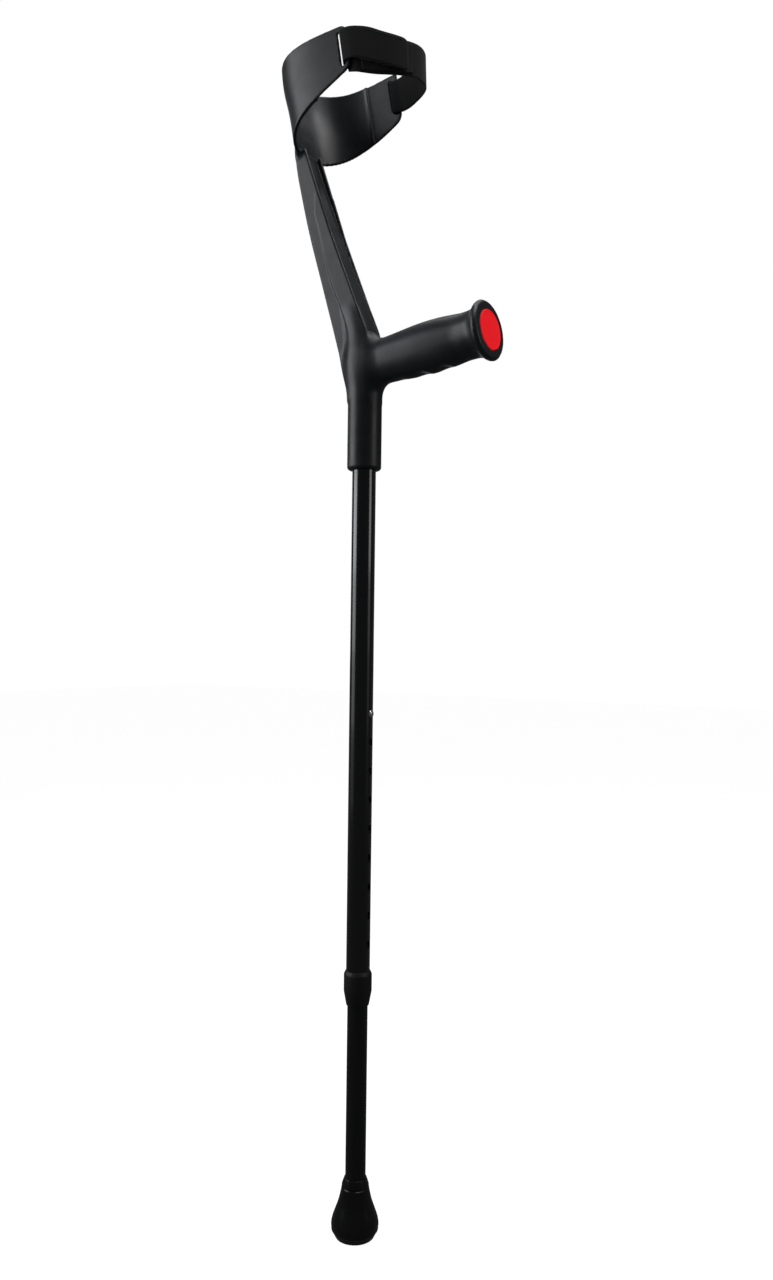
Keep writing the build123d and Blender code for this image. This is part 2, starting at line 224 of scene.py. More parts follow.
class Finish:
    """A Principled material whose colour, roughness and relief come from procedural textures."""

    def __init__(self, name, roughness, **sockets):
        self.material = bpy.data.materials.new(name)
        self.material.use_nodes = True
        self.tree = self.material.node_tree
        self.shader = self.tree.nodes["Principled BSDF"]
        self.shader.inputs["Roughness"].default_value = roughness
        for socket, value in sockets.items():
            self.shader.inputs[socket.replace("_", " ")].default_value = value
        self.place = self.tree.nodes.new("ShaderNodeTexCoord").outputs["Object"]
        self.relief = None

    def node(self, kind, **inputs):
        made = self.tree.nodes.new(kind)
        for key, value in inputs.items():
            socket = made.inputs[key.replace("_", " ")]
            if isinstance(value, bpy.types.NodeSocket):
                self.tree.links.new(value, socket)
            else:
                socket.default_value = value
        return made

    def stretched(self, scale, source=None):
        """Texture place with each axis scaled, in repeats per metre."""
        mapping = self.node("ShaderNodeMapping", Vector=source or self.place)
        mapping.inputs["Scale"].default_value = scale
        return mapping.outputs["Vector"]

    def noise(self, scale, detail=3.0):
        made = self.node(
            "ShaderNodeTexNoise",
            Vector=self.stretched(scale),
            Scale=1.0,
            Detail=detail,
            Roughness=0.55,
        )
        return made.outputs["Fac"]

    def ramp(self, factor, stops):
        made = self.node("ShaderNodeValToRGB", Fac=factor)
        elements = made.color_ramp.elements
        while len(elements) < len(stops):
            elements.new(0.5)
        for element, (position, colour) in zip(elements, stops):
            element.position, element.color = position, colour
        return made.outputs["Color"]

    def colour(self, source):
        self.tree.links.new(source, self.shader.inputs["Base Color"])

    def roughness(self, factor, low, high):
        """Spreads a noise, which mostly keeps to 0.3-0.7, over a range of roughness."""
        limits = {"From_Min": 0.3, "From_Max": 0.7, "To_Min": low, "To_Max": high}
        span = self.node("ShaderNodeMapRange", Value=factor, **limits)
        self.tree.links.new(span.outputs["Result"], self.shader.inputs["Roughness"])

    def bump(self, height, strength, depth):
        """Adds a relief of the given depth in millimetres."""
        made = self.node("ShaderNodeBump", Height=height, Strength=strength, Distance=depth * MM)
        if self.relief is not None:
            self.tree.links.new(self.relief, made.inputs["Normal"])
        self.relief = made.outputs["Normal"]
        self.tree.links.new(self.relief, self.shader.inputs["Normal"])


def moulded(name, dark, light, rough_low, rough_high, grain=1500, depth=0.05, **sockets):
    """Satin plastic with a fine spark-eroded grain and slight mottling."""
    finish = Finish(name, rough_low, **sockets)
    finish.colour(finish.ramp(finish.noise((22, 22, 22)), [(0.3, dark), (0.7, light)]))
    finish.roughness(finish.noise((60, 60, 60), 4.0), rough_low, rough_high)
    finish.bump(finish.noise((grain, grain, grain), 2.0), 0.35, depth)
    return finish


def painted(name, dark, light, rough_low, rough_high, coat):
    """Paint on a drawn tube: long faint streaks and small scuffs."""
    finish = Finish(name, rough_low, Coat_Weight=coat, Coat_Roughness=0.08)
    streaks = finish.noise((900, 900, 9), 3.0)
    finish.colour(finish.ramp(finish.noise((300, 300, 14), 4.0), [(0.35, dark), (0.75, light)]))
    finish.roughness(streaks, rough_low, rough_high)
    finish.bump(finish.noise((260, 260, 160), 2.0), 0.05, 0.02)
    return finish


def metal(name, level, rough_low, rough_high, stretch):
    """Bare metal of a grey level, with its grain stretched along one axis or even."""
    finish = Finish(name, rough_low, Metallic=1.0)
    brushed = finish.noise(stretch, 3.0)
    dark, light = srgb(*[level - 18] * 3), srgb(*[level] * 3)
    finish.colour(finish.ramp(brushed, [(0.3, dark), (0.7, light)]))
    finish.roughness(brushed, rough_low, rough_high)
    finish.bump(brushed, 0.15, 0.02)
    return finish


def woven(name, dark, light, pitch, rough):
    """Flat webbing: rows of yarn across the strap, crossed by finer warp ends, with painted shade
    in the hollows between them.
    """
    finish = Finish(name, rough, Sheen_Weight=0.12, Sheen_Roughness=0.5, Specular_IOR_Level=0.25)
    uv = finish.tree.nodes.new("ShaderNodeUVMap")
    uv.uv_map = "weave"
    one_row_each_pitch = 2 * pi / (20 * pitch * MM)
    heights = []
    for scale in ((1.0, 0.0, 0.0), (0.0, 0.62, 0.0)):
        place = finish.stretched(scale, uv.outputs["UV"])
        wave = finish.node(
            "ShaderNodeTexWave", Vector=place, Scale=one_row_each_pitch, Distortion=0.4
        )
        wave.inputs["Detail Scale"].default_value = 2.0
        heights.append(wave.outputs["Fac"])
    cross = finish.node("ShaderNodeMath")
    cross.operation = "MULTIPLY"
    for socket, height in zip(cross.inputs, heights):
        finish.tree.links.new(height, socket)
    weave = cross.outputs["Value"]
    # The colour follows the weave's height, so the hollows between the yarns are darker: painted
    # shade on top of the relief.
    finish.colour(finish.ramp(weave, [(0.05, dark), (0.8, light)]))
    finish.bump(weave, 0.6, 0.22)
    finish.bump(finish.noise((700, 700, 700), 2.0), 0.25, 0.08)
    return finish


PLASTIC = moulded("moulded_plastic", srgb(30, 32, 36), srgb(40, 42, 47), 0.34, 0.44)
COLLAR = moulded("collar_plastic", srgb(20, 20, 19), srgb(28, 28, 27), 0.42, 0.56)
BUSH = moulded("bush_plastic", srgb(196, 196, 190), srgb(212, 212, 206), 0.42, 0.5)
# The disc glows, because the lights that suit the black parts leave it darker than in the photo
RED_GLOW = {"Emission_Color": srgb(232, 20, 29), "Emission_Strength": 0.62}
RED = moulded(
    "red_plastic", srgb(226, 16, 26), srgb(238, 24, 32), 0.34, 0.44, 2200, 0.02, **RED_GLOW
)
TUBE = painted("tube_black", srgb(8, 8, 9), srgb(14, 14, 16), 0.14, 0.24, 0.9)
INNER_TUBE = painted("inner_tube_black", srgb(14, 14, 13), srgb(24, 24, 22), 0.28, 0.4, 0.1)
STEEL = metal("steel_bright", 226, 0.14, 0.26, (2200, 2200, 2200))
SPRING = metal("spring_steel", 168, 0.26, 0.4, (1800, 1800, 90))
RUBBER = moulded("rubber_black", srgb(14, 14, 13), srgb(26, 26, 24), 0.16, 0.28, 1100, 0.06)
WEBBING = woven("webbing_black", srgb(15, 15, 16), srgb(34, 34, 38), 1.25, 0.8)
LOOP = moulded("loop_pile", srgb(14, 14, 15), srgb(34, 34, 37), 0.88, 0.98, 2600, 0.5)
HOOK = moulded("hook_pad", srgb(16, 16, 17), srgb(30, 30, 32), 0.4, 0.6, 3200, 0.5)
THREAD = moulded("thread_black", srgb(20, 20, 22), srgb(44, 44, 48), 0.6, 0.75, 3000, 0.1)


# ---------------------------------------------------------------- moulding as a distance field
def smooth_min(a, b, reach):
    blend = np.maximum(reach - np.abs(a - b), 0.0) / reach
    return np.minimum(a, b) - blend * blend * reach / 4


def smooth_max(a, b, reach):
    return -smooth_min(-a, -b, reach)


def rounded_both(a, b, radius):
    """Overlap of two regions, with the edge between them rounded."""
    a, b = a + radius, b + radius
    return np.hypot(np.maximum(a, 0), np.maximum(b, 0)) + np.minimum(np.maximum(a, b), 0) - radius


# Outlines of the strut and neck against height, and of the grip against the distance along it
STRUT_BACK = bent_line(
    [STRUT_BOTTOM, 757, 800, 891, 955, 988], [-11, -16.6, -29.2, -56.3, -71.8, -75.4], 12
)
STRUT_FRONT = bent_line([STRUT_BOTTOM, 780, 797, 890, 1000], [9, 9.5, 8, -31.4, -71.6], 3)
FRONT_FACE = bent_line([797, 890, 1000], [8, -31.4, -71.6], 3)
FIN_EDGE = smooth_curve([756, 797, 820, 847, 889, 910], [-10, -11, -20, -31.9, -43.5, -50])
GRIP_HEIGHT = smooth_curve([0, 30, 58, 88, 106, 118], [19.4, 20.2, 22.2, 21.5, 19.4, 18.2])
GRIP_WIDTH = smooth_curve([0, 30, 58, 88, 106, 118], [14.4, 15.6, 16.6, 16.6, 16.4, 16.2])
FLARE = smooth_curve([88, 98, 106, 112.6, 119.1, 123], [8.0, 13.0, 16.6, 18.8, 22.6, 24.4])
NECK_X = smooth_curve([765, 800, 840], [0, -4.5, -20])
NECK_R = smooth_curve([765, 785, 805, 840], [15.1, 14.4, 12.2, 9.0])

# The cuff's rims against x, its back's bulge against height, and how much lower the far rims are
LOWER_RIM = np.polyfit([-95, -40, 20], [952.2, 983.2, 1013.4], 2)
UPPER_RIM = np.polyfit([-95, -50, 20], [1036.4, 1043.4, 1047.2], 2)
BACK_BULGE = smooth_curve([950, 970, 1000, 1020, 1045], [0.0, -0.3, 0.7, 2.8, 1.8])
FAR_LOWER_DROP = smooth_curve([-70, -35, -10, 10], [0.4, 2.3, 3.9, 2.4])
FAR_UPPER_DROP = smooth_curve([-75, -55, -25, -5], [0.4, 1.6, 0.9, -0.6])


def sleeve(x, y, z):
    """Round sleeve, whose top leans back and narrows into the strut."""
    body = rounded_both(np.hypot(x - NECK_X(z), y) - NECK_R(z), SLEEVE_BOTTOM - z, 3.0)
    return smooth_max(body * BACK_SLOPE, z - SLEEVE_TOP, 10)


def strut_section(x, z):
    """Strut seen from the side."""
    back, front = (STRUT_BACK(z) - x) * BACK_SLOPE, (x - STRUT_FRONT(z)) * FRONT_SLOPE
    return np.maximum(smooth_max(np.maximum(back, front), z - STRUT_TOP, 18), STRUT_BOTTOM - z)


def strut_half_width(z):
    return np.interp(z, [730, 960], [10.8, 12.6])


def beam(x, y, z):
    """Front part of the strut, which carries on from the sleeve."""
    section = np.maximum(strut_section(x, z), FIN_EDGE(z) - x)
    section = np.maximum(section, z - BEAM_TOP)
    return rounded_both(section, np.abs(y) - strut_half_width(z), 1.6)


def fin(x, y, z):
    """Whole outline of the strut, a little thinner than the beam low down."""
    thinner = np.interp(z, [800, 860, 915], [2.0, 1.2, 0.0])
    return rounded_both(strut_section(x, z), np.abs(y) - strut_half_width(z) + thinner, 1.8)


def channel(x, y, z):
    """Recess down the strut's front that fades out above the grip."""
    depth = np.interp(z, [795, 830, 900, 957], [0.4, 0.8, 2.0, 4.4])
    floor = (FRONT_FACE(z) - x) * FRONT_SLOPE - depth
    across = np.abs(y) - np.interp(z, [800, 950], [7.6, 9.6])
    return np.maximum(np.maximum(across, floor), CHANNEL_BOTTOM - z)


def grip(x, y, z):
    """Hand grip with its finger grooves and end flange, and the hollow cut into its end."""
    along = x * cos(GRIP_TILT) + (z - GRIP_ROOT_Z) * sin(GRIP_TILT)
    up = (z - GRIP_ROOT_Z) * cos(GRIP_TILT) - x * sin(GRIP_TILT)
    high, wide = GRIP_HEIGHT(along), GRIP_WIDTH(along)
    behind = np.minimum(along, 0) / GRIP_ROOT_REACH
    level = np.sqrt((up / high) ** 2 + (y / wide) ** 2 + behind**2)
    slope = np.sqrt((up / high**2) ** 2 + (y / wide**2) ** 2 + (behind / GRIP_ROOT_REACH) ** 2)
    body = (level - 1) / np.maximum(slope / np.maximum(level, 1e-3), 0.02)
    body = np.maximum(body, along - GRIP_LENGTH + 8)
    for i in range(FINGER_GROOVES):
        bottom = np.hypot(along - GROOVE_FIRST - GROOVE_PITCH * i, up + GROOVE_DROP)
        body = smooth_max(body, GROOVE_R - bottom, 1.6)
    radius = np.hypot(up, y)
    flare_ends = np.maximum(along - GRIP_LENGTH + 3, FLARE_START - along)
    flare = np.maximum((radius - FLARE(along)) * 0.8, flare_ends)
    rim_centre_r = GRIP_FLANGE_R - GRIP_LIP_R
    rim_along = np.abs(along - GRIP_LENGTH + GRIP_LIP_R)
    rim = np.hypot(np.maximum(radius - GRIP_FLANGE_R + GRIP_LIP_R, 0), rim_along) - GRIP_LIP_R
    rim = np.where(radius < rim_centre_r, rim_along - GRIP_LIP_R, rim)
    body = smooth_min(body, smooth_min(flare, rim, 2.0), 5.0)
    bore = np.maximum(radius - GRIP_BORE_R, GRIP_LENGTH - GRIP_BORE_DEPTH - along)
    seat = np.maximum(radius - CAP_R - CAP_CLEARANCE, GRIP_LENGTH - CAP_RECESS - along)
    return body, np.minimum(bore, seat)


def cuff_side(u, y, radius, wing_end):
    """Plan distance from a cuff outline: round at the back, easing into flat wings in front."""
    behind = smooth_max(CUFF_CENTRE_X - u, 0.0, CUFF_EASING)
    ahead = smooth_max(u - CUFF_CENTRE_X, 0.0, CUFF_EASING)
    return np.hypot(behind, y) - radius - (wing_end - radius) * ahead / WING_REACH


def cuff(x, y, z):
    """The band, and the space inside it above the lower rim."""
    back_share = np.clip((-25 - x) / 50, 0, 1)
    u = x + CUFF_LEAN * (z - CUFF_LEVEL) + BACK_BULGE(z) * back_share
    outside = cuff_side(u, y, CUFF_R, WING_END_Y)
    back_r = CUFF_R - CUFF_BACK_WALL
    from_ridge = (u - STEP_X + RIDGE_BEHIND_STEP) / RIDGE_WIDTH
    ridge = RIDGE_HEIGHT * np.exp(-(from_ridge**2))
    behind_step = cuff_side(u, y, back_r, back_r - 1.2) + ridge
    wing_space = cuff_side(u, y, CUFF_R - WING_WALL, WING_END_Y - WING_WALL)
    inside = smooth_min(behind_step, np.maximum(wing_space, STEP_X - u), 0.5)
    far = np.clip(y / 25, 0, 1)
    low = np.polyval(LOWER_RIM, x) - far * FAR_LOWER_DROP(x) - z
    high = z - np.polyval(UPPER_RIM, x) + far * FAR_UPPER_DROP(x)
    wing_end = np.where(y < 0, SLOT_X[-1], SLOT_X[1]) + WING_END_PAST_SLOT
    lower_corner = smooth_max(low * 0.88, u - wing_end, 7.0)
    edges = smooth_max(lower_corner, high, np.where(y < 0, 6.0, 1.5))
    band = rounded_both(np.maximum(outside, -inside), edges, CUFF_EDGE_R)
    half_high = (SLOT_TOP - SLOT_BOTTOM) / 2
    over = np.abs(z - SLOT_BOTTOM - half_high) - half_high
    for hand, slot_x in SLOT_X.items():
        beside = np.abs(u - slot_x) - SLOT_WIDTH[hand] / 2
        slot = np.maximum(rounded_both(beside, over, 1.8), 30 - hand * y)
        band = smooth_max(band, -slot, 0.8)
    return band, np.maximum(inside, low + 1.2)


def moulding(points):
    """Distance from the whole moulding: its parts joined first, then the hollows cut."""
    x, y, z = points.T
    handle, hollow = grip(x, y, z)
    band, space = cuff(x, y, z)
    strut = smooth_min(beam(x, y, z), fin(x, y, z), 1.2)
    body = smooth_min(sleeve(x, y, z), strut, 5.0)
    body = smooth_max(body, -channel(x, y, z), 1.0)
    body = smooth_min(body, handle, 12.0)
    body = smooth_min(body, band, 6.5)
    body = smooth_max(body, -space, 1.0)
    tube_bore = np.maximum(np.hypot(x, y) - OUTER_TUBE_R - TUBE_CLEARANCE, z - OUTER_TUBE_TOP)
    rivet_hole = np.maximum(np.hypot(y, z - RIVET_Z) - RIVET_R, x)
    for cut in (tube_bore, hollow, rivet_hole):
        body = np.maximum(body, -cut)
    return body


def grid_points(counts):
    """Whole-numbered points of a grid, one to a row."""
    axes = np.meshgrid(*[np.arange(n) for n in counts], indexing="ij")
    return np.stack(axes, -1).reshape(-1, 3)


def sampled(distance, low, high, step, block=4):
    """Distances on a level grid. Blocks far from the surface only hold their centre's value."""
    cells = np.ceil((high - low) / (step * block)).astype(int)
    corner = grid_points(cells) * block
    centre = distance(low + (corner + (block - 1) / 2) * step)
    values = np.repeat(centre.reshape(cells), block, 0).repeat(block, 1).repeat(block, 2)
    near = corner[np.abs(centre) < step * block * 1.3]
    index = (near[:, None, :] + grid_points([block] * 3)[None]).reshape(-1, 3)
    values[tuple(index.T)] = distance(low + index * step)
    return values


def surface_net(values, low, step):
    """One point in each cell that the surface crosses, and a quad round each edge that does."""
    shape = values.shape
    strides = np.array([shape[1] * shape[2], shape[2], 1])
    flat_sum, flat_count = np.zeros((values.size, 3)), np.zeros(values.size)
    quads = []
    for axis in range(3):
        first = [slice(None)] * 3
        second = [slice(None)] * 3
        first[axis], second[axis] = slice(None, -1), slice(1, None)
        start, end = values[tuple(first)], values[tuple(second)]
        index = np.argwhere((start < 0) != (end < 0))
        a, b = start[tuple(index.T)], end[tuple(index.T)]
        place = index.astype(float)
        place[:, axis] += a / (a - b)
        base = index @ strides
        u, v = strides[(axis + 1) % 3], strides[(axis + 2) % 3]
        corners = np.stack([base - u - v, base - v, base, base - u], 1)
        for k in range(4):
            np.add.at(flat_sum, corners[:, k], place)
            np.add.at(flat_count, corners[:, k], 1)
        quads.append(np.where((a < 0)[:, None], corners, corners[:, ::-1]))
    used = np.flatnonzero(flat_count)
    number = np.full(values.size, -1)
    number[used] = np.arange(len(used))
    points = low + flat_sum[used] / flat_count[used][:, None] * step
    return points, number[np.concatenate(quads)]


def gradient(distance, points, width=0.06):
    rises = [distance(points + shift) - distance(points - shift) for shift in np.eye(3) * width]
    return np.stack(rises, 1) / (2 * width)


def solid_from_distance(name, distance, low, high, step, material, slot):
    """Mesh of a distance field inside a box, moved onto the surface and shaded by the field."""
    low, high = np.asarray(low, float), np.asarray(high, float)
    points, quads = surface_net(sampled(distance, low, high, step), low, step)
    # Newton steps onto the surface, each at most half a cell
    for _ in range(3):
        slope = gradient(distance, points)
        move = distance(points)[:, None] * slope / np.maximum((slope**2).sum(1), 0.2)[:, None]
        points = points - np.clip(move, -step / 2, step / 2)
    obj = add_mesh(name, points, quads.tolist(), material)
    normals = gradient(distance, points)
    normals /= np.maximum(np.linalg.norm(normals, axis=1), 1e-6)[:, None]
    obj.data.normals_split_custom_set_from_vertices(normals.tolist())
    return obj


MOULDING_BOX = (-90, -52, 670), (134, 52, 1054)
net_step = 1.25
body = solid_from_distance(
    "crutch_moulding", moulding, *MOULDING_BOX, net_step, PLASTIC.material, "moulded_plastic"
)
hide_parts("upper_moulding")
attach(body, "upper_frame")


# ---------------------------------------------------------------- turned pieces
def turned(name, profile, finish, slot, body_name, replaced, *placing):
    """Turned piece in place of a CAD node. placing is the axis, origin and segments for lathe."""
    points, faces = lathe(profile, *placing)
    obj = add_mesh(name, points, faces, finish.material)
    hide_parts(replaced)
    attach(obj, body_name)


def dome(radius, base, height, count):
    """Profile that rounds over from a rim to the axis."""
    return [(radius * cos(a), base + height * sin(a)) for a in np.linspace(0, pi / 2, count)]


GRIP_AXIS = (cos(GRIP_TILT), 0, sin(GRIP_TILT))
GRIP_ORIGIN = (0, 0, GRIP_ROOT_Z)
seat = GRIP_LENGTH - CAP_RECESS
turned(
    "grip_cap",
    softened(
        [
            (GRIP_BORE_R - 1.6, seat - 9),
            (GRIP_BORE_R, seat - 9),
            (GRIP_BORE_R, seat),
            (CAP_R, seat),
            (CAP_R, seat + 2.1),
            (CAP_R - 1.3, seat + 2.2),
            (CAP_R - 1.9, seat + 1.9),
            (8, seat + 2.0),
            (0, seat + 2.05),
        ],
        0.4,
    ),
    RED,
    "red_plastic",
    "upper_frame",
    "grip_end_cap",
    GRIP_AXIS,
    GRIP_ORIGIN,
)

collar_lip = INNER_TUBE_R + 0.12
turned(
    "tube_collar",
    softened(
        [
            (collar_lip, COLLAR_BOTTOM + 9),
            (collar_lip, COLLAR_BOTTOM),
            (collar_lip + 0.9, COLLAR_BOTTOM),
            (COLLAR_R - 0.1, COLLAR_BOTTOM + 12),
            (COLLAR_R, COLLAR_BOTTOM + 13),
            (COLLAR_R, COLLAR_TOP - 3.2),
            (OUTER_TUBE_R + 0.5, COLLAR_TOP - 0.1),
            (OUTER_TUBE_R, COLLAR_TOP),
        ],
        0.8,
    ),
    COLLAR,
    "collar_plastic",
    "upper_frame",
    "bottom_collar",
)

# Foot: the outside's radius against height, and a thin bead round it
BULB = smooth_curve([0.9, 8.5, 18.0, 30.5, 43.0], [17.6, 20.8, 19.6, 15.1, 12.2])
BEAD_Z, BEAD_HEIGHT, BEAD_WIDTH = 6.4, 0.55, 0.8


def bulb_radius(z):
    """Radius of the foot's outside at a height."""
    return float(BULB(z) + BEAD_HEIGHT * np.exp(-(((z - BEAD_Z) / BEAD_WIDTH) ** 2)))


tread = [(0, 0)]
for groove_r in (7.0, 12.0):
    tread += [(groove_r - 0.9, 0), (groove_r - 0.7, 1.6)]
    tread += [(groove_r + 0.7, 1.6), (groove_r + 0.9, 0)]
tread += [(16.6, 0), (17.3, 0.35)]
bulb_side = [(bulb_radius(z), float(z)) for z in np.linspace(0.9, 43.0, 58)]
groove_ring = [(12.2, 43.2), (11.4, 43.6), (11.4, 44.6), (12.1, 45.2)]
mouth = [(9.9, 51.7), (9.3, FERRULE_TOP), (9.05, 51.4)]
socket = [(9.02, FERRULE_SOLE + 1.6), (0, FERRULE_SOLE + 1.6)]
turned(
    "rubber_ferrule",
    softened(tread, 0.3) + bulb_side + softened(groove_ring + mouth, 0.4) + socket,
    RUBBER,
    "rubber_black",
    "lower_leg",
    "ferrule",
)

BUTTON_R = 3.2
button_foot = [(0, 4.4), (1.5, 4.4), (1.5, 5.55), (4.0, 5.6), (4.0, 6.3)]
turned(
    "snap_button_dome",
    button_foot + [(BUTTON_R, 6.4), (BUTTON_R, 10.4)] + dome(BUTTON_R, 10.5, 2.0, 14),
    STEEL,
    "steel_bright",
    "button",
    "snap_button",
    (1, 0, 0),
    (0, 0, BUTTON_Z),
    48,
)

blind_end = [(0, 7.0), (3.4, 7.0), (3.5, 7.4), (3.5, 8.4)]
shank = [(RIVET_R, 8.5), (RIVET_R, SLEEVE_R + 0.1), (4.2, SLEEVE_R + 0.1)]
turned(
    "sleeve_rivet_head",
    blind_end + shank + dome(4.4, SLEEVE_R + 0.3, 1.4, 12),
    STEEL,
    "steel_bright",
    "upper_frame",
    "sleeve_rivet",
    (-1, 0, 0),
    (0, 0, RIVET_Z),
    48,
)


# ---------------------------------------------------------------- strap
SHOULDER_Y = STRAP_INSIDE_Y - SHOULDER_R


def leg_angle(hand):
    """Outward angle of the straight stretch between a shoulder and the front arc, in degrees."""
    across = -hand * SHOULDER_Y
    along = STRAP_FRONT_X - SHOULDER_X[hand]
    reach = hypot(across, along)
    return degrees(atan2(across, along) + hand * acos((SHOULDER_R - STRAP_FRONT_R) / reach))


def distance_along(line):
    """Distance in plan from a line's first row to each row."""
    steps = np.hypot(*np.diff(line[:, :2], axis=0).T)
    return np.concatenate([[0], np.cumsum(steps)])


def wrap_line(offset, start_hand=-1, stop_angle=None):
    """Line of a strap layer as rows of x, y and outward angle, from one slot's fold to the other.

    offset is the distance outside the inner layer: a number, or a function of the distance from
    the fold.
    """
    turns = [
        (SHOULDER_X[-1], -SHOULDER_Y, SHOULDER_R, -90.0, leg_angle(-1)),
        (STRAP_FRONT_X, 0.0, STRAP_FRONT_R, leg_angle(-1), leg_angle(1)),
        (SHOULDER_X[1], SHOULDER_Y, SHOULDER_R, leg_angle(1), 90.0),
    ]
    rows = [(FOLD_X[-1], -STRAP_INSIDE_Y, -90.0)]
    for centre_x, centre_y, radius, first, last in turns:
        for angle in np.linspace(first, last, max(4, int(abs(last - first) / 4))):
            a = radians(angle)
            rows.append((centre_x + radius * cos(a), centre_y + radius * sin(a), angle))
    rows.append((FOLD_X[1], STRAP_INSIDE_Y, 90.0))
    rows = np.array(rows[::-1] if start_hand == 1 else rows)
    walked = distance_along(rows)
    even = np.linspace(0, walked[-1], int(walked[-1] / LINE_STEP))
    line = np.stack([np.interp(even, walked, rows[:, k]) for k in range(3)], 1)
    out = offset(even) if callable(offset) else offset
    line[:, 0] += out * np.cos(np.radians(line[:, 2]))
    line[:, 1] += out * np.sin(np.radians(line[:, 2]))
    if stop_angle is not None:
        line = line[(line[:, 2] - stop_angle) * start_hand > 0]
    return line


def fold_line(hand):
    """Line of the turn through a slot, round the wing's end bar. Its angles face the bar."""
    radius = LAYER_OFFSET / 2
    angles = np.linspace(90 * hand, -90 * hand, 14)
    middle = hand * (STRAP_INSIDE_Y + radius)
    a = np.radians(angles)
    return np.stack([FOLD_X[hand] - radius * np.cos(a), middle - radius * np.sin(a), angles], 1)


def strip(name, line, low, high, thickness, finish, rows=15):
    """Flat strip along a line of x, y and normal angle, with soft selvedges and closed ends."""
    count = len(line)
    low, high = np.broadcast_to(low, count), np.broadcast_to(high, count)
    half = thickness / 2
    edge = 0.9 * half
    across = np.linspace(0, 1, rows)
    section = [(t, edge * (1 - 2 * t), half) for t in across]
    section += [(1, -0.3 * edge, half * 0.7), (1, 0, 0), (1, -0.3 * edge, -half * 0.7)]
    section += [(t, edge * (1 - 2 * t), -half) for t in across[::-1]]
    section += [(0, 0.3 * edge, -half * 0.7), (0, 0, 0), (0, 0.3 * edge, half * 0.7)]
    normal = np.stack([np.cos(np.radians(line[:, 2])), np.sin(np.radians(line[:, 2]))], 1)
    walked = distance_along(line)
    tilt = CUFF_LEAN * strap_lean(line)
    points, uvs = [], []
    for i in range(count):
        for share, shift, out in section:
            z = low[i] + (high[i] - low[i]) * share + shift
            x = line[i, 0] + normal[i, 0] * out - tilt[i] * (z - CUFF_LEVEL)
            points.append((x, line[i, 1] + normal[i, 1] * out, z))
            uvs.append((walked[i] * MM, z * MM))
    size = len(section)
    faces = []
    for i in range(count - 1):
        for k in range(size):
            n = (k + 1) % size
            faces.append((i * size + k, (i + 1) * size + k, (i + 1) * size + n, i * size + n))
    for i, flip in ((0, False), (count - 1, True)):
        for k in range(rows - 1):
            facing = 2 * rows + 2 - k
            quad = [i * size + n for n in (k, k + 1, facing - 1, facing)]
            faces.append(quad[::-1] if flip else quad)
        top = [i * size + rows - 1 + k for k in range(5)]
        bottom = [i * size + (2 * rows + 2 + k) % size for k in range(4)] + [i * size]
        for cap in (top, bottom):
            faces.append(cap[::-1] if flip else cap)
    return add_mesh(name, points, faces, finish.material, uvs)


def round_angle(line):
    """Direction of each row from the centre of the strap's front arc, in degrees."""
    return np.degrees(np.arctan2(line[:, 1], line[:, 0] - STRAP_FRONT_X))


def strap_lean(line):
    """Share of the cuff's lean: all of it at the slots, none at the front."""
    return np.clip((np.abs(round_angle(line)) - 15) / 75, 0, 1)


# Heights of the edges of the band and the tail, against the direction from the front arc's centre
BAND_LOW = smooth_curve(
    [-110, -93, -67, -45, -8, 20, 46, 64, 94, 112],
    [1008.5, 1005, 1002, 1002, 1006, 1008.5, 1010.7, 1010.6, 1008.5, 1010],
)
BAND_HIGH = smooth_curve(
    [-110, -70, -15, 5, 30, 64, 94, 112],
    [1038.5, 1034.5, 1034.9, 1036.2, 1036.6, 1038.6, 1040.6, 1040.6],
)
TAIL_LOW = smooth_curve(
    [-105, -96, -84, -69, -53, -41, -22], [1014.5, 1016, 1014, 1010.7, 1007.2, 1006, 1006]
)
TAIL_HIGH = smooth_curve(
    [-105, -84, -69, -60, -46, -24], [1043.4, 1043, 1040.5, 1037.8, 1035, 1032.8]
)


def sewn_offset(walked):
    """The sewn-back end leaves the fold a full layer out and comes down onto the band."""
    share = np.clip(1 - (walked - 7) / 9, 0, 1) ** 1.6
    return SEWN_OFFSET + (LAYER_OFFSET - SEWN_OFFSET) * share


band_line = wrap_line(0.0)
far_fold = fold_line(1)
sewn = wrap_line(sewn_offset, 1, SEWN_END_ANGLE)
sewn[:, 2] -= 180
whole = np.concatenate([band_line, far_fold[1:-1], sewn])
band_angle = round_angle(whole)
past_fold = np.clip((np.arange(len(whole)) - len(band_line)) / len(far_fold), 0, 1)
band_low = BAND_LOW(band_angle) + FAR_FOLD_RISE[0] * past_fold
band_high = BAND_HIGH(band_angle) + FAR_FOLD_RISE[1] * past_fold
band = strip("strap_band", whole, band_low, band_high, STRAP_THICKNESS, WEBBING)
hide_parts("strap_webbing")
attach(band, "upper_frame")

near_fold = fold_line(-1)
tail_run = wrap_line(LAYER_OFFSET)
tail_run = tail_run[tail_run[:, 2] < TAIL_END_ANGLE]
tail_angle = round_angle(tail_run)
tail_run[:, 2] += 180
tail_line = np.concatenate([near_fold[:-1], tail_run])
turn_share = np.linspace(0, 1, len(near_fold) - 1)
fold_low, fold_high = (
    edge + rise * turn_share for edge, rise in zip(NEAR_FOLD_EDGES, NEAR_FOLD_RISE)
)
tail_low = np.concatenate([fold_low, TAIL_LOW(tail_angle)])
tail_high = np.concatenate([fold_high, TAIL_HIGH(tail_angle)])
corner = np.array([0.3, 1.1, 2.4])  # the free end's corners are cut round
tail_low[-3:] += corner
tail_high[-3:] -= corner
tail = strip(
    "strap_tail_end", tail_line, tail_low, tail_high, STRAP_THICKNESS, WEBBING
)
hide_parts("strap_tail")
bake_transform(tail)


